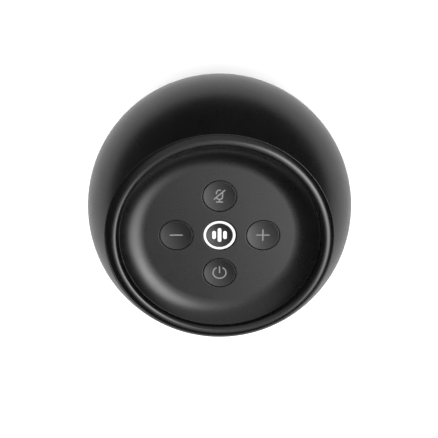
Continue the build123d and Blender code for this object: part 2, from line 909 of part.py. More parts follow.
# ================================================================ build
def build():
    os.makedirs("parts", exist_ok=True)
    places = button_places()
    legends = {
        "mute": mute_sketch(),
        "volume_down": minus_sketch(),
        "volume_up": plus_sketch(),
        "power": power_sketch(),
    }
    for name, sketch in legends.items():
        button, legend = button_and_legend(places[name], sketch)
        save(f"{name}_button", button)
        save(f"{name}_legend", legend)
    guide, cap, glyph = assistant_pieces()
    save("assistant_light_ring", guide)
    save("assistant_button", cap)
    save("assistant_legend", glyph)
    for name, place in places.items():
        save(f"{name}_switch_plunger", plunger(place))
    pieces = {
        "upper_shell": upper_shell,
        "grille_ring": grille_ring,
        "grille_cloth": grille_cloth,
        "base_plate": base_plate,
        "rating_label": rating_label,
        "foot_ring": foot_ring,
        "top_rim": top_rim,
        "top_panel": top_panel,
        "switch_bodies": switch_bodies,
        "control_board": control_board,
        "control_board_screws": control_board_screws,
        "ring_leds": ring_leds,
        "microphones": microphones,
        "main_board": main_board,
        "main_board_screws": main_board_screws,
        "rf_shield": rf_shield,
        "main_board_chips": main_board_chips,
        "board_connectors": board_connectors,
        "control_ribbon": control_ribbon,
        "wifi_antenna": antenna,
        "driver_basket": driver_basket,
        "driver_terminals": driver_terminals,
        "driver_gasket": driver_gasket,
        "driver_screws": driver_screws,
        "driver_top_plate": driver_top_plate,
        "driver_magnet": driver_magnet,
        "driver_yoke": driver_yoke,
        "driver_cone": driver_cone,
        "driver_dust_cap": driver_dust_cap,
        "voice_coil": voice_coil,
        "driver_surround": driver_surround,
        "driver_spider": driver_spider,
        "baffle_plate": baffle_plate,
        "chamber_cup": chamber_cup,
        "lead_grommet": lead_grommet,
        "shell_screws": chamber_screw_set,
        "base_screws": base_screws,
        "diffuser": diffuser,
        "inlet_bezel": inlet_bezel,
        "inlet_socket": inlet_socket,
        "inlet_pin": inlet_pin,
        "power_lead": power_lead,
        "driver_lead": driver_lead,
    }
    for name, make in pieces.items():
        save(name, make())


build()
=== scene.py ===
"""Looks of the ball-shaped smart home hub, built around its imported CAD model.

The row frame is kept: metres, +Z up, -Y the user's side. Sizes follow the CAD model.
"""

import json
from math import asin, atan2, ceil, cos, hypot, pi, radians, sin, sqrt, tan

import bmesh
import bpy
from mathutils import Matrix, Vector
from mathutils.geometry import delaunay_2d_cdt


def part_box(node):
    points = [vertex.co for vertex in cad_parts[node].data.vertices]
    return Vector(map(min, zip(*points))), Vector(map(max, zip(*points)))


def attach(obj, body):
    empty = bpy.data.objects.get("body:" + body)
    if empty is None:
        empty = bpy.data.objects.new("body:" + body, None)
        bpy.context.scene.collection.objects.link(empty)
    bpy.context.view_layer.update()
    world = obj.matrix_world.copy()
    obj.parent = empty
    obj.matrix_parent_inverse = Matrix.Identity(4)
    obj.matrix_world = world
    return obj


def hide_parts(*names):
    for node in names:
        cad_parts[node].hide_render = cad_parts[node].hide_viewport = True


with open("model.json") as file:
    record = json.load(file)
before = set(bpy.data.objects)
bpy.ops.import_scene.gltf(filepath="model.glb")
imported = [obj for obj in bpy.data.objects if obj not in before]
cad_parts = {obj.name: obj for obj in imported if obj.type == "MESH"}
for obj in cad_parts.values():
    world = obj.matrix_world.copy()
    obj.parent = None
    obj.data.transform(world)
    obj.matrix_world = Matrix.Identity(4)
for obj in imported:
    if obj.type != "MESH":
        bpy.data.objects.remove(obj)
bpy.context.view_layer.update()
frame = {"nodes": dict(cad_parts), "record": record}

MM = 0.001
HOUSING = "housing"

# ================================================================ sizes, in metres
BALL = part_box("upper_shell")[1].x
SHELL_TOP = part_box("upper_shell")[1].z
SHELL_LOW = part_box("upper_shell")[0].z
CENTRE = SHELL_TOP - 32.1 * MM
SHELL_WALL = 2.2 * MM
SHELL_LOW_ROUND = 0.25 * MM
SHELL_TOP_ROUND, SHELL_INNER_ROUND = 0.08 * MM, 0.2 * MM
TURNS = 360  # divisions of a large turned piece
BUTTON_TURNS, RING_TURNS = 144, 180
SHARP_ANGLE = radians(32)

RIM_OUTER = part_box("top_rim")[1].x
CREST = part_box("top_rim")[1].z
CREST_RADIUS = 42.8 * MM
CREST_ROUND = 4.0 * MM
FLANK_ANGLE, INNER_ANGLE = radians(45), radians(16)
LIP_ROUND, LIP_ANGLE = 1.9 * MM, radians(65)
RIM_BORE = 40.4 * MM
RIM_SKIRT = 43.0 * MM
RIM_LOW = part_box("top_rim")[0].z
PANEL_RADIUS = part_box("top_panel")[1].x
PANEL_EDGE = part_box("top_panel")[1].z
PANEL_EDGE_LOW = PANEL_EDGE - 2.9 * MM
PANEL_EDGE_ROUND = 0.3 * MM
LEDGE_GAP = 0.05 * MM
LEDGE_BORE = 39.0 * MM
FLOOR = CENTRE + 27.55 * MM
FLOOR_UNDER = FLOOR - 2.0 * MM
FLOOR_RADIUS = 30.0 * MM
UNDER_RADIUS = FLOOR_RADIUS + 2 * MM
DISH_ROUND = 15.5 * MM
HOLE_ROUND = 0.1 * MM

BUTTON_PITCH = 17.5 * MM
BUTTON_HOLE = 6.85 * MM
BUTTON = 6.6 * MM
BUTTON_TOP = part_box("power_button")[1].z
BUTTON_DISH = 0.3 * MM
BUTTON_RIM = 0.3 * MM  # flat land around the dish
CAP_WALL = 1.3 * MM
CAP_CEILING = BUTTON_TOP - BUTTON_DISH - CAP_WALL
CAP_EDGE_ROUND = 0.15 * MM
FLANGE = 7.8 * MM
FLANGE_TOP, FLANGE_LOW = FLOOR_UNDER - 0.15 * MM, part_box("power_button")[0].z
RING_OUTER, RING_INNER = 6.48 * MM, 5.41 * MM
RING_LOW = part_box("assistant_light_ring")[0].z
MIDDLE_DROP = 0.15 * MM  # how far the middle cap stands below its ring
STEM = 1.5 * MM
STEM_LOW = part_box("power_switch_plunger")[1].z
STROKE = 0.5 * MM  # width of the legends' lines
SIGN_REACH = 2.45 * MM  # half the length of the plus and minus signs' lines
GLOW_STRENGTH = 0.62
PLACES = {
    "mute": (0, BUTTON_PITCH),
    "volume_down": (-BUTTON_PITCH, 0),
    "volume_up": (BUTTON_PITCH, 0),
    "power": (0, -BUTTON_PITCH),
}


# ================================================================ mesh helpers
def finish_mesh(name, bm, material):
    """Object of a bmesh, with smooth faces and edges kept sharp past SHARP_ANGLE."""
    bmesh.ops.remove_doubles(bm, verts=bm.verts, dist=1e-7)
    bmesh.ops.recalc_face_normals(bm, faces=bm.faces)
    mesh = bpy.data.meshes.new(name)
    bm.to_mesh(mesh)
    bm.free()
    mesh.shade_smooth()
    mesh.set_sharp_from_angle(angle=SHARP_ANGLE)
    mesh.materials.append(material)
    piece = bpy.data.objects.new(name, mesh)
    bpy.context.scene.collection.objects.link(piece)
    return piece


def arc(centre, radius, start, end, count):
    """Points of an arc; angles in radians, from +r towards +z."""
    return [
        (
            centre[0] + radius * cos(start + (end - start) * i / count),
            centre[1] + radius * sin(start + (end - start) * i / count),
        )
        for i in range(count + 1)
    ]


def meridian(radius, low, high, count):
    """Points up the ball's outline between two heights."""
    return arc((0, CENTRE), radius, asin((low - CENTRE) / radius), asin((high - CENTRE) / radius), count)


def soften(path, corners, count=6):
    """Rounds corners of a closed outline. corners maps a point's place in path to a length."""
    total = len(path)
    cut = {}
    for index, length in corners.items():
        ends = []
        for step in (-1, 1):
            left, here, at = length, Vector(path[index]), index
            while True:
                there = Vector(path[(at + step) % total])
                run = (there - here).length
                if run > left:
                    ends.append((at if step == 1 else (at - 1) % total, here.lerp(there, left / run)))
                    break
                left, here, at = left - run, there, (at + step) % total
        cut[index] = ends
    dropped = set()
    for index, ((before, _), (after, _)) in cut.items():
        at = (before + 1) % total
        while at != (after + 1) % total:
            dropped.add(at)
            at = (at + 1) % total
    outline = []
    for i in range(total):
        if i in cut:
            start, end, corner = cut[i][0][1], cut[i][1][1], Vector(path[i])
            for k in range(count + 1):
                t = k / count
                p = start.lerp(corner, t).lerp(corner.lerp(end, t), t)
                outline.append((p.x, p.y))
        elif i not in dropped:
            outline.append(tuple(path[i]))
    return outline


def turn(bm, outline, closed=True, turns=TURNS, place=(0, 0)):
    """Adds the surface that an outline of (radius, height) points makes about an upright axis."""
    rows = []
    for r, z in outline:
        if r < 1e-7:
            rows.append([bm.verts.new((place[0], place[1], z))] * turns)
        else:
            rows.append(
                [
                    bm.verts.new(
                        (
                            place[0] + r * cos(2 * pi * k / turns),
                            place[1] + r * sin(2 * pi * k / turns),
                            z,
                        )
                    )
                    for k in range(turns)
                ]
            )
    pairs = list(zip(rows, rows[1:]))
    if closed:
        pairs.append((rows[-1], rows[0]))
    for low, high in pairs:
        for k in range(turns):
            n = (k + 1) % turns
            corners = list(dict.fromkeys((low[k], low[n], high[n], high[k])))
            if len(corners) > 2:
                bm.faces.new(corners)


def turned(name, outline, material, closed=True, turns=TURNS, place=(0, 0)):
    """Object of a turned outline."""
    bm = bmesh.new()
    turn(bm, outline, closed, turns, place)
    return finish_mesh(name, bm, material)


def circle(radius, count, place=(0, 0)):
    """Flat points of a circle."""
    return [
        (place[0] + radius * cos(2 * pi * i / count), place[1] + radius * sin(2 * pi * i / count))
        for i in range(count)
    ]


def sheet(bm, outer, holes, place):
    """Adds a flat-filled sheet between an outer loop and holes, each a list of nested loops."""
    points, edges = [], []
    for loop in [outer] + [loop for hole in holes for loop in hole]:
        start = len(points)
        points += [Vector(p) for p in loop]
        edges += [(start + i, start + (i + 1) % len(loop)) for i in range(len(loop))]
    flat, _, faces, *_ = delaunay_2d_cdt(points, edges, [], 0, 1e-9)

    def inside(p, loop):
        hit = False
        for (x0, y0), (x1, y1) in zip(loop, loop[1:] + loop[:1]):
            if (y0 > p.y) != (y1 > p.y) and p.x < (x1 - x0) * (p.y - y0) / (y1 - y0) + x0:
                hit = not hit
        return hit

    corners = [bm.verts.new(place(p.x, p.y)) for p in flat]
    for face in faces:
        middle = sum((flat[i] for i in face), Vector((0, 0))) / len(face)
        if inside(middle, outer) and not any(inside(middle, hole[-1]) for hole in holes):
            bm.faces.new([corners[i] for i in face])


def loft(bm, loops):
    """Adds quads between closed loops of 3-D points that have the same count."""
    rows = [[bm.verts.new(p) for p in loop] for loop in loops]
    for low, high in zip(rows, rows[1:]):
        for i in range(len(low)):
            n = (i + 1) % len(low)
            bm.faces.new((low[i], low[n], high[n], high[i]))


def edge_round(length, count=5):
    """(outward offset, depth) pairs of a rounded edge, from the top surface to the wall."""
    return [
        (length * (1 - sin(pi / 2 * i / count)), length * (1 - cos(pi / 2 * i / count)))
        for i in range(count + 1)
    ]


# ================================================================ materials
class Nodes:
    """A material's node tree, with short calls for the nodes used here."""

    def __init__(self, name, colour, roughness, specular=0.5):
        self.material = bpy.data.materials.new(name)
        self.material.use_nodes = True
        self.tree = self.material.node_tree
        self.shader = self.tree.nodes["Principled BSDF"]
        self.shader.inputs["Base Color"].default_value = (*colour, 1)
        self.shader.inputs["Roughness"].default_value = roughness
        self.shader.inputs["Specular IOR Level"].default_value = specular
        self.place = self.tree.nodes.new("ShaderNodeTexCoord").outputs["Object"]

    def add(self, kind, **inputs):
        node = self.tree.nodes.new(kind)
        for key, value in inputs.items():
            socket = node.inputs[key.replace("_", " ")]
            if isinstance(value, bpy.types.NodeSocket):
                self.tree.links.new(value, socket)
            else:
                socket.default_value = value
        return node

    def link(self, output, socket):
        self.tree.links.new(output, socket)

    def noise(self, scale, detail=2.0, roughness=0.5):
        return self.add(
            "ShaderNodeTexNoise", Vector=self.place, Scale=scale, Detail=detail, Roughness=roughness
        ).outputs["Fac"]

    def spread(self, value, low, high, start=0.3, end=0.7):
        ends = {"From_Min": start, "From_Max": end, "To_Min": low, "To_Max": high}
        return self.add("ShaderNodeMapRange", Value=value, **ends).outputs["Result"]

    def tint(self, value, dark, light, start=0.3, end=0.7):
        ramp = self.add("ShaderNodeValToRGB", Fac=value)
        ramp.color_ramp.elements[0].position = start
        ramp.color_ramp.elements[0].color = (*dark, 1)
        ramp.color_ramp.elements[1].position = end
        ramp.color_ramp.elements[1].color = (*light, 1)
        self.link(ramp.outputs["Color"], self.shader.inputs["Base Color"])

    def rough(self, value, low, high):
        self.link(self.spread(value, low, high), self.shader.inputs["Roughness"])

    def bump(self, height, depth):
        node = self.add("ShaderNodeBump", Height=height, Distance=depth, Strength=1.0)
        self.link(node.outputs["Normal"], self.shader.inputs["Normal"])


def grey(level, warm=0.0):
    """Grey, shifted towards amber by warm."""
    return (level * (1 + warm), level, level * (1 - warm))


def moulded(name, level, roughness, grain, depth, warm=0.0):
    """Moulded plastic: spark-eroded grain, soft clouding of tone and sheen."""
    nodes = Nodes(name, grey(level, warm), roughness)
    cloud = nodes.noise(60, detail=3)
    nodes.tint(cloud, grey(level * 0.85, warm), grey(level * 1.15, warm))
    nodes.rough(nodes.noise(140, detail=4), roughness * 0.93, roughness * 1.07)
    nodes.bump(nodes.noise(1 / grain, detail=1.5, roughness=0.6), depth)
    return nodes.material


def lit(name, mask=0.0):
    """Milky plastic lit from behind; below the mask's height it is painted black."""
    milk, paint = grey(0.24), grey(0.003)
    nodes = Nodes(name, milk, 0.35)
    nodes.shader.inputs["Emission Color"].default_value = (1, 1, 1, 1)
    height = nodes.add("ShaderNodeSeparateXYZ", Vector=nodes.place).outputs["Z"]
    clear = nodes.spread(height, 0, 1, mask - 0.02 * MM, mask)
    nodes.tint(clear, paint, milk, 0.4, 0.6)
    glow = nodes.add("ShaderNodeMath")
    glow.operation = "MULTIPLY"
    nodes.link(clear, glow.inputs[0])
    cloud = nodes.spread(nodes.noise(220), GLOW_STRENGTH * 0.96, GLOW_STRENGTH * 1.04)
    nodes.link(cloud, glow.inputs[1])
    nodes.link(glow.outputs["Value"], nodes.shader.inputs["Emission Strength"])
    nodes.bump(nodes.noise(6000), 0.001 * MM)
    return nodes.material


def rubber(name, level):
    """Matt rubber with a fine grain."""
    nodes = Nodes(name, grey(level), 0.75, 0.3)
    nodes.tint(nodes.noise(300, detail=4), grey(level * 0.7), grey(level * 1.3))
    nodes.bump(nodes.noise(9000, detail=3), 0.01 * MM)
    return nodes.material


def metal(name, colour, roughness, scale=900):
    """Bare or plated metal with uneven sheen."""
    nodes = Nodes(name, colour, roughness)
    nodes.shader.inputs["Metallic"].default_value = 1
    grain = nodes.noise(scale, detail=4)
    nodes.rough(grain, roughness * 0.8, roughness * 1.25)
    nodes.tint(grain, tuple(c * 0.9 for c in colour), colour)
    nodes.bump(nodes.noise(scale * 5), 0.002 * MM)
    return nodes.material


def board(name):
    """Green solder mask over a glass weave, with hints of tracks."""
    nodes = Nodes(name, (0.01, 0.09, 0.04), 0.35)
    tracks = nodes.add("ShaderNodeTexBrick", Vector=nodes.place, Scale=260.0)
    tracks.inputs["Color1"].default_value = (0.010, 0.085, 0.036, 1)
    tracks.inputs["Color2"].default_value = (0.012, 0.10, 0.045, 1)
    tracks.inputs["Mortar"].default_value = (0.025, 0.16, 0.07, 1)
    tracks.inputs["Mortar Size"].default_value = 0.03
    nodes.link(tracks.outputs["Color"], nodes.shader.inputs["Base Color"])
    nodes.bump(tracks.outputs["Fac"], 0.02 * MM)
    return nodes.material


def cloth(name, colour, pitch):
    """Plain weave: two crossed waves, with fibre noise."""
    nodes = Nodes(name, colour, 0.85, 0.25)
    waves = []
    for axis in ("X", "Z"):
        wave = nodes.add("ShaderNodeTexWave", Vector=nodes.place, Scale=1 / pitch / 6.3, Distortion=1.0)
        wave.bands_direction = axis
        waves.append(wave.outputs["Fac"])
    weave = nodes.add("ShaderNodeMath")
    weave.operation = "MAXIMUM"
    nodes.link(waves[0], weave.inputs[0])
    nodes.link(waves[1], weave.inputs[1])
    nodes.tint(weave.outputs["Value"], tuple(c * 0.4 for c in colour), tuple(c * 1.5 for c in colour))
    nodes.bump(weave.outputs["Value"], 0.08 * MM)
    nodes.shader.inputs["Sheen Weight"].default_value = 0.2
    return nodes.material


def paper(name, colour, scale=1500):
    """Matt fibrous surface."""
    nodes = Nodes(name, colour, 0.8, 0.2)
    fibres = nodes.noise(scale, detail=5)
    nodes.tint(fibres, tuple(c * 0.8 for c in colour), tuple(c * 1.2 for c in colour))
    nodes.bump(fibres, 0.03 * MM)
    return nodes.material


MATERIALS = {
    "shell_plastic": moulded("shell satin black", 0.0034, 0.28, grain=0.10 * MM, depth=0.0005 * MM),
    "rim_plastic": moulded("rim satin black", 0.0032, 0.23, grain=0.10 * MM, depth=0.0004 * MM),
    "panel_plastic": moulded("panel satin black", 0.0034, 0.28, grain=0.10 * MM, depth=0.0005 * MM),
    "button_plastic": moulded("button satin black", 0.0032, 0.28, grain=0.09 * MM, depth=0.0005 * MM),
    "legend_ink": moulded("legend grey ink", 0.155, 0.5, grain=0.08 * MM, depth=0.002 * MM),
    "light_guide": lit("lit milky plastic", BUTTON_TOP - 0.12 * MM),
    "grille_plastic": moulded("grille satin black", 0.0034, 0.28, grain=0.10 * MM, depth=0.0005 * MM),
    "acoustic_cloth": cloth("acoustic cloth", (0.012, 0.012, 0.013), 0.35 * MM),
    "base_plastic": moulded("base matt black", 0.012, 0.5, grain=0.2 * MM, depth=0.006 * MM),
    "foot_rubber": rubber("foot rubber", 0.02),
    "label_paper": paper("label film", (0.10, 0.10, 0.105)),
    "chamber_plastic": moulded("chamber black", 0.014, 0.5, grain=0.3 * MM, depth=0.01 * MM),
    "board_laminate": board("board solder mask"),
    "chip_plastic": moulded("epoxy black", 0.018, 0.55, grain=0.15 * MM, depth=0.006 * MM),
    "connector_plastic": moulded("nylon natural", 0.62, 0.45, grain=0.2 * MM, depth=0.003 * MM, warm=0.06),
    "switch_plastic": moulded("switch black", 0.03, 0.45, grain=0.2 * MM, depth=0.003 * MM),
    "plunger_plastic": moulded("plunger grey", 0.45, 0.4, grain=0.2 * MM, depth=0.003 * MM),
    "led_lens": moulded("diode lens", 0.8, 0.2, grain=0.2 * MM, depth=0.001 * MM, warm=0.1),
    "tin_plate": metal("tin plate", (0.75, 0.75, 0.73), 0.3),
    "screw_steel": metal("zinc-plated steel", (0.55, 0.56, 0.58), 0.35),
    "ribbon_film": moulded("amber film", 0.25, 0.3, grain=0.4 * MM, depth=0.003 * MM, warm=0.75),
    "basket_steel": moulded("black stove enamel", 0.02, 0.4, grain=0.3 * MM, depth=0.006 * MM),
    "pole_steel": metal("plated mild steel", (0.6, 0.6, 0.61), 0.4),
    "ferrite": paper("ground ferrite", (0.05, 0.05, 0.055), 2500),
    "cone_paper": paper("cone pulp", (0.03, 0.03, 0.032)),
    "coil_copper": metal("enamelled copper", (0.75, 0.33, 0.16), 0.3, 3000),
    "surround_rubber": rubber("soft rubber", 0.02),
    "spider_cloth": cloth("stiffened weave", (0.5, 0.3, 0.08), 0.5 * MM),
    "lead_jacket": rubber("vinyl jacket", 0.03),
    "pin_metal": metal("nickel plate", (0.8, 0.76, 0.66), 0.25),
}


def carried_over():
    """Finishes on the CAD pieces that are shown as they are, by their slot in the record."""
    slots = {s["node"]: s["material_slot"] for s in frame["record"]["subparts"]}
    for node, piece in frame["nodes"].items():
        piece.data.materials.clear()
        piece.data.materials.append(MATERIALS[slots[node]])
    return slots


def place_piece(piece, node, body=HOUSING):
    """The piece joins the body's empty, and the CAD node it stands for is hidden."""
    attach(piece, body)
    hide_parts(node)


SLOTS = carried_over()


# ================================================================ covers
def upper_shell():
    """Ball skin from the slotted ring up to the rim."""
    outside = meridian(BALL, SHELL_LOW, SHELL_TOP, 90)
    inside = meridian(BALL - SHELL_WALL, SHELL_LOW, SHELL_TOP, 60)[::-1]
    top = len(outside) - 1
    corners = {0: SHELL_LOW_ROUND, top: SHELL_TOP_ROUND, top + 1: SHELL_INNER_ROUND}
    piece = turned("Ball_skin", soften(outside + inside, corners), MATERIALS["shell_plastic"])
    place_piece(piece, "upper_shell")


def rim_outline():
    """Section of the rim: outer flank, bead, tighter lip, then the bore and its ledge."""
    centre = (CREST_RADIUS, CREST - CREST_ROUND)
    step = CREST_ROUND - LIP_ROUND
    lip_centre = (centre[0] - step * sin(INNER_ANGLE), centre[1] + step * cos(INNER_ANGLE))
    bead = arc(centre, CREST_ROUND, pi / 2 - FLANK_ANGLE, pi / 2 + INNER_ANGLE, 40)
    lip = arc(lip_centre, LIP_ROUND, pi / 2 + INNER_ANGLE, pi / 2 + LIP_ANGLE, 24)[1:]
    drop = (RIM_OUTER - bead[0][0]) * tan(FLANK_ANGLE)
    flank_end = (RIM_OUTER, max(bead[0][1] - drop, SHELL_TOP + 0.02 * MM))
    ledge_top = PANEL_EDGE_LOW - LEDGE_GAP
    path = [flank_end, *bead, *lip]
    corners = {0: 0.05 * MM, len(path): 0.2 * MM}
    path += [
        (RIM_BORE, lip[-1][1] - 0.4 * MM),
        (RIM_BORE, ledge_top),
        (LEDGE_BORE, ledge_top),
        (LEDGE_BORE, RIM_LOW),
        (RIM_SKIRT, RIM_LOW),
        (RIM_SKIRT, SHELL_TOP),
        (RIM_OUTER, SHELL_TOP),
    ]
    return soften(path, corners)


def top_rim():
    """Rounded bead around the panel."""
    piece = turned("Rim", rim_outline(), MATERIALS["rim_plastic"])
    place_piece(piece, "top_rim")


def top_panel():
    """Dished panel with five round holes whose edges are slightly rounded."""
    bm = bmesh.new()
    swing = asin((PANEL_RADIUS - FLOOR_RADIUS) / DISH_ROUND)
    flank = arc((FLOOR_RADIUS, FLOOR + DISH_ROUND), DISH_ROUND, -pi / 2, -pi / 2 + swing, 60)
    path = flank + [
        (PANEL_RADIUS, PANEL_EDGE_LOW),
        (LEDGE_BORE - 0.3 * MM, PANEL_EDGE_LOW),
        (UNDER_RADIUS, FLOOR_UNDER),
        (FLOOR_RADIUS, FLOOR_UNDER),
    ]
    turn(bm, soften(path, {len(flank) - 1: PANEL_EDGE_ROUND}), closed=False)
    spots = [(0, 0), *PLACES.values()]
    rounding = edge_round(HOLE_ROUND)
    count = 120
    rim_loop = circle(FLOOR_RADIUS, TURNS)
    top_holes = [
        [circle(BUTTON_HOLE + 0.5 * MM, count, spot), circle(BUTTON_HOLE + HOLE_ROUND, count, spot)]
        for spot in spots
    ]
    sheet(bm, rim_loop, top_holes, lambda x, y: (x, y, FLOOR))
    under_holes = [[circle(BUTTON_HOLE, count, spot)] for spot in spots]
    sheet(bm, rim_loop, under_holes, lambda x, y: (x, y, FLOOR_UNDER))
    for spot in spots:
        loops = [
            [(x, y, FLOOR - depth) for x, y in circle(BUTTON_HOLE + offset, count, spot)]
            for offset, depth in rounding
        ]
        loops.append([(x, y, FLOOR_UNDER) for x, y in circle(BUTTON_HOLE, count, spot)])
        loft(bm, loops)
    place_piece(finish_mesh("Panel", bm, MATERIALS["panel_plastic"]), "top_panel")


# ================================================================ buttons
def dish_height(radius, cap):
    """Height of a cap's dished top at a radius."""
    reach = cap - BUTTON_RIM
    curve = (reach**2 + BUTTON_DISH**2) / (2 * BUTTON_DISH)
    return BUTTON_TOP - BUTTON_DISH + curve - sqrt(curve**2 - min(radius, reach) ** 2)


def dish(cap, drop=0.0):
    """Outline of a cap's dished top, from its middle outwards."""
    steps = 30
    radii = [(cap - BUTTON_RIM) * i / steps for i in range(steps + 1)]
    return [(radius, dish_height(radius, cap) - drop) for radius in radii]


STEM_OUTLINE = [(STEM, CAP_CEILING), (STEM, STEM_LOW), (0, STEM_LOW)]


def button(name, place):
    """Dished cap with its flange, hollow underside and stem."""
    top = dish(BUTTON)
    inner = BUTTON - CAP_WALL
    path = top + [
        (BUTTON, BUTTON_TOP),
        (BUTTON, FLANGE_TOP),
        (FLANGE, FLANGE_TOP),
        (FLANGE, FLANGE_LOW),
        (inner, FLANGE_LOW),
        (inner, CAP_CEILING),
        *STEM_OUTLINE,
    ]
    outline = soften(path, {len(top): CAP_EDGE_ROUND, len(top) - 1: 0.1 * MM})
    material = MATERIALS["button_plastic"]
    piece = turned(f"Button_{name}", outline, material, closed=False, turns=BUTTON_TURNS, place=place)
    place_piece(piece, f"{name}_button", f"{name}_key")


def assistant_cap():
    """Middle cap, without a flange of its own: the light ring around it carries that."""
    cap = RING_INNER - 0.02 * MM
    inner = cap - 1.0 * MM
    top = dish(cap, MIDDLE_DROP)
    path = top + [
        (cap, BUTTON_TOP - MIDDLE_DROP),
        (cap, FLANGE_LOW),
        (inner, FLANGE_LOW),
        (inner, CAP_CEILING),
        *STEM_OUTLINE,
    ]
    outline = soften(path, {len(top): CAP_EDGE_ROUND})
    material = MATERIALS["button_plastic"]
    piece = turned("Button_assistant", outline, material, closed=False, turns=BUTTON_TURNS)
    place_piece(piece, "assistant_button", "assistant_key")


def light_ring():
    """Milky ring around the middle cap, with the flange below the panel."""
    path = [
        (RING_INNER, BUTTON_TOP),
        (RING_INNER, RING_LOW),
        (RING_OUTER, RING_LOW),
        (RING_OUTER, FLANGE_LOW),
        (FLANGE, FLANGE_LOW),
        (FLANGE, FLANGE_TOP),
        (RING_OUTER, FLANGE_TOP),
        (RING_OUTER, BUTTON_TOP),
    ]
    outline = soften(path, {0: 0.2 * MM, 7: 0.2 * MM})
    piece = turned("Light_ring", outline, MATERIALS["light_guide"], turns=RING_TURNS)
    place_piece(piece, "assistant_light_ring", "assistant_key")


# ================================================================ legends, as distance fields
def bar(a, b, width=STROKE):
    """Distance to a straight round-ended line."""
    (x0, y0), (x1, y1) = a, b
    dx, dy = x1 - x0, y1 - y0
    length = dx * dx + dy * dy

    def distance(x, y):
        t = max(0, min(1, ((x - x0) * dx + (y - y0) * dy) / length)) if length else 0
        return hypot(x - x0 - t * dx, y - y0 - t * dy) - width / 2

    return distance


def bow(radius, gap, width=STROKE):
    """Distance to a ring about the origin, open at its top by an angle to each side."""
    tips = [(s * radius * sin(gap), radius * cos(gap)) for s in (-1, 1)]

    def distance(x, y):
        if abs(atan2(x, y)) > gap:
            return abs(hypot(x, y) - radius) - width / 2
        return min(hypot(x - tx, y - ty) for tx, ty in tips) - width / 2

    return distance


def joined(*fields):
    """Distance to the nearest of several shapes."""
    return lambda x, y: min(f(x, y) for f in fields)


def without(field, *cuts):
    """Distance to a shape less its cuts."""
    return lambda x, y: max([field(x, y)] + [-cut(x, y) for cut in cuts])


def outlined(height, width, middle, stroke=STROKE):
    """Distance to the outline of an upright capsule."""
    reach = (height - width) / 2
    solid = bar((0, middle - reach), (0, middle + reach), width)
    return without(solid, lambda x, y: solid(x, y) + stroke)


def minus_field():
    return bar((-SIGN_REACH, 0), (SIGN_REACH, 0))


def plus_field():
    return joined(minus_field(), bar((0, -SIGN_REACH), (0, SIGN_REACH)))


def power_field():
    return joined(bow(2.65 * MM, radians(32)), bar((0, 0.05 * MM), (0, 2.75 * MM)))


def mute_field():
    """Microphone on a stand, struck through."""
    middle, height = 0.55 * MM, 4.6 * MM
    foot = middle - height / 2
    low, high = (-2.1 * MM, -1.35 * MM), (2.1 * MM, 2.55 * MM)
    shift = 0.45 * MM
    gap = bar((low[0] - shift, low[1] + shift), (high[0] - shift, high[1] + shift), 0.7 * MM)
    microphone = without(outlined(height, 2.9 * MM, middle), gap)
    stand = joined(
        bar((0, foot), (0, foot - 0.85 * MM)),
        bar((-1.2 * MM, foot - 0.85 * MM), (1.2 * MM, foot - 0.85 * MM)),
    )
    return joined(microphone, bar(low, high), stand)


def voice_field():
    """Three round-ended bars, the middle one tallest."""
    width, pitch = 1.5 * MM, 2.2 * MM
    bars = [bar((0, -2.4 * MM), (0, 2.4 * MM), width)]
    bars += [bar((x, -1.1 * MM), (x, 1.1 * MM), width) for x in (-pitch, pitch)]
    return joined(*bars)


def inlay(name, field, place, cap, node, body, material, drop=0.0):
    """Thin raised print of a field's inside, following the dish of its cap."""
    cell, proud, depth, reach = 0.07 * MM, 0.04 * MM, 0.35 * MM, 3.5 * MM
    count = ceil(2 * reach / cell)
    grid = [-reach + 2 * reach * i / count for i in range(count + 1)]
    value = {(i, j): field(x, y) for i, x in enumerate(grid) for j, y in enumerate(grid)}
    bm = bmesh.new()
    made = {}

    def corner(key, x, y):
        if key not in made:
            top = dish_height(hypot(x, y), cap) - drop + proud
            made[key] = [bm.verts.new((place[0] + x, place[1] + y, top - d)) for d in (0, depth)]
        return made[key]

    outlines = {}
    for i in range(count):
        for j in range(count):
            ring = [(i, j), (i + 1, j), (i + 1, j + 1), (i, j + 1)]
            if all(value[k] > 0 for k in ring):
                continue
            loop = []
            for a, b in zip(ring, ring[1:] + ring[:1]):
                if value[a] <= 0:
                    loop.append((a, grid[a[0]], grid[a[1]]))
                if (value[a] <= 0) != (value[b] <= 0):
                    t = value[a] / (value[a] - value[b])
                    x = grid[a[0]] + t * (grid[b[0]] - grid[a[0]])
                    y = grid[a[1]] + t * (grid[b[1]] - grid[a[1]])
                    loop.append((tuple(sorted((a, b))), x, y))
            if len(loop) < 3:
                continue
            pairs = [corner(*p) for p in loop]
            bm.faces.new([p[0] for p in pairs])
            bm.faces.new([p[1] for p in reversed(pairs)])
            keys = [p[0] for p in loop]
            for a, b in zip(keys, keys[1:] + keys[:1]):
                if (b, a) in outlines:
                    del outlines[(b, a)]
                else:
                    outlines[(a, b)] = True
    for a, b in outlines:
        bm.faces.new((made[a][1], made[b][1], made[b][0], made[a][0]))
    piece = finish_mesh(name, bm, material)
    place_piece(piece, node, body)


def legends():
    """Printed legends of the four buttons and the lit glyph of the middle one."""
    ink = MATERIALS["legend_ink"]
    fields = {
        "mute": mute_field(),
        "volume_down": minus_field(),
        "volume_up": plus_field(),
        "power": power_field(),
    }
    for name, field in fields.items():
        inlay(f"Legend_{name}", field, PLACES[name], BUTTON, f"{name}_legend", f"{name}_key", ink)
    inlay(
        "Glyph_voice",
        voice_field(),
        (0, 0),
        RING_INNER,
        "assistant_legend",
        "assistant_key",
        lit("lit glyph"),
        MIDDLE_DROP,
    )


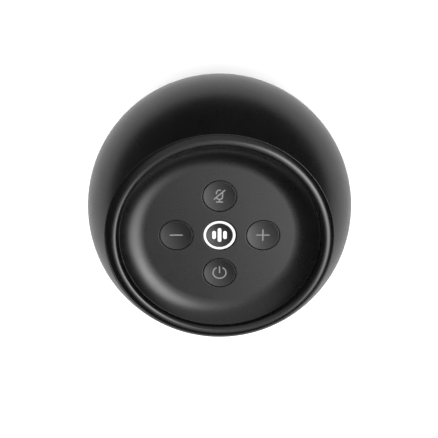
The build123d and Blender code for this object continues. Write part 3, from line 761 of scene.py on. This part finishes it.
# ================================================================ studio
CAMERA_TILT = radians(26.3)  # off the vertical axis, towards the back
CAMERA_DISTANCE = 7.5 * BALL
CAMERA_LENS, SENSOR = 80.5, 36.0
FRAME_DROP = 0.0315  # the ball's centre stands above the middle of the frame
FRAME_ASIDE = -0.0012
WORLD_STRENGTH = 2.05
FLOOR_REACH = 6.0
TENT_RADIUS = 4.0
LAMP_SKIRT = (0.05, 0.45)  # the lamps fade out between these heights above the horizon
LOBES = (
    # axis, strength, dark past, full within (degrees), whether it is a lamp
    ((0.0, -0.443, -0.896), 0.85, 78.5, 68.0, False),  # white sweep below and behind
    ((0.36, -0.10, 0.92), 7.0, 17.0, 6.0, True),  # upper half of the tall softbox to the right
    ((0.39, -0.46, 0.80), 5.0, 20.0, 4.0, True),  # its lower half
    ((0.24, -0.30, 0.92), 1.3, 30.0, 6.0, True),  # its spill to the left
    ((0.02, 0.45, 0.89), 0.75, 50.0, 25.0, True),  # weak light over the back
)


def studio_camera():
    """Camera behind and above the hub, turned so that the back of the ball is at the top."""
    data = bpy.data.cameras.new("Camera")
    data.lens, data.sensor_width = CAMERA_LENS, SENSOR
    data.shift_x, data.shift_y = FRAME_ASIDE, -FRAME_DROP
    camera = bpy.data.objects.new("Camera", data)
    bpy.context.scene.collection.objects.link(camera)
    towards = Vector((0, sin(CAMERA_TILT), cos(CAMERA_TILT)))
    up = Vector((0, cos(CAMERA_TILT), -sin(CAMERA_TILT)))
    across = up.cross(towards)
    turn_to = Matrix((across, up, towards)).transposed().to_4x4()
    camera.matrix_world = Matrix.Translation(Vector((0, 0, CENTRE)) + towards * CAMERA_DISTANCE) @ turn_to
    bpy.context.scene.camera = camera


def sky(name, lobes):
    """Glow of the light tent by direction, as the sum of its lobes."""
    material = bpy.data.materials.new(name)
    material.use_nodes = True
    tree = material.node_tree
    tree.nodes.clear()
    out = tree.nodes.new("ShaderNodeOutputMaterial")
    glow = tree.nodes.new("ShaderNodeEmission")
    tree.links.new(glow.outputs["Emission"], out.inputs["Surface"])
    place = tree.nodes.new("ShaderNodeTexCoord").outputs["Object"]
    unit = tree.nodes.new("ShaderNodeVectorMath")
    unit.operation = "NORMALIZE"
    tree.links.new(place, unit.inputs[0])

    def fade(value, start, end, low, high):
        node = tree.nodes.new("ShaderNodeMapRange")
        node.interpolation_type = "SMOOTHSTEP"
        for key, number in (("From Min", start), ("From Max", end), ("To Min", low), ("To Max", high)):
            node.inputs[key].default_value = number
        tree.links.new(value, node.inputs["Value"])
        return node.outputs["Result"]

    def combine(kind, a, b):
        node = tree.nodes.new("ShaderNodeMath")
        node.operation = kind
        tree.links.new(a, node.inputs[0])
        tree.links.new(b, node.inputs[1])
        return node.outputs["Value"]

    split = tree.nodes.new("ShaderNodeSeparateXYZ")
    tree.links.new(unit.outputs["Vector"], split.inputs["Vector"])
    above = fade(split.outputs["Z"], *LAMP_SKIRT, 0, 1)
    total = None
    for axis, strength, dark, full, lamp in lobes:
        dot = tree.nodes.new("ShaderNodeVectorMath")
        dot.operation = "DOT_PRODUCT"
        tree.links.new(unit.outputs["Vector"], dot.inputs[0])
        dot.inputs[1].default_value = Vector(axis).normalized()
        lobe = fade(dot.outputs["Value"], cos(radians(dark)), cos(radians(full)), 0, strength)
        if lamp:
            lobe = combine("MULTIPLY", lobe, above)
        total = combine("ADD", total, lobe) if total else lobe
    tree.links.new(total, glow.inputs["Strength"])
    material.cycles.emission_sampling = "NONE"
    return material


def light_tent(centre, radius, lobes):
    """Round tent about the hub that only reflections see."""
    bm = bmesh.new()
    bmesh.ops.create_uvsphere(bm, u_segments=96, v_segments=48, radius=radius)
    mesh = bpy.data.meshes.new("Light_tent")
    bm.to_mesh(mesh)
    bm.free()
    mesh.materials.append(sky("light tent", lobes))
    piece = bpy.data.objects.new("Light_tent", mesh)
    bpy.context.scene.collection.objects.link(piece)
    piece.location = centre
    piece.visible_camera = False
    piece.visible_diffuse = False
    piece.visible_shadow = False
    piece.visible_transmission = False


def floor():
    """Plain pale floor; reflections see the light tent in its place."""
    nodes = Nodes("studio floor", grey(0.95), 0.9, 0.0)
    nodes.tint(nodes.noise(2.0, detail=2), grey(0.945), grey(0.955))
    bm = bmesh.new()
    corners = ((-1, -1), (1, -1), (1, 1), (-1, 1))
    bm.faces.new([bm.verts.new((x * FLOOR_REACH, y * FLOOR_REACH, 0)) for x, y in corners])
    piece = finish_mesh("Floor", bm, nodes.material)
    piece.visible_glossy = False


def studio():
    """Camera, floor, light tent and the even white light of the room."""
    studio_camera()
    floor()
    light_tent((0, 0, CENTRE), TENT_RADIUS, LOBES)
    world = bpy.data.worlds.new("World")
    world.use_nodes = True
    background = world.node_tree.nodes["Background"]
    background.inputs["Color"].default_value = (1, 1, 1, 1)
    background.inputs["Strength"].default_value = WORLD_STRENGTH
    world.cycles_visibility.glossy = False
    bpy.context.scene.world = world
    scene = bpy.context.scene
    scene.view_settings.view_transform = "Standard"
    scene.view_settings.look = "None"


upper_shell()
top_rim()
top_panel()
for button_name, spot in PLACES.items():
    button(button_name, spot)
assistant_cap()
light_ring()
legends()
studio()
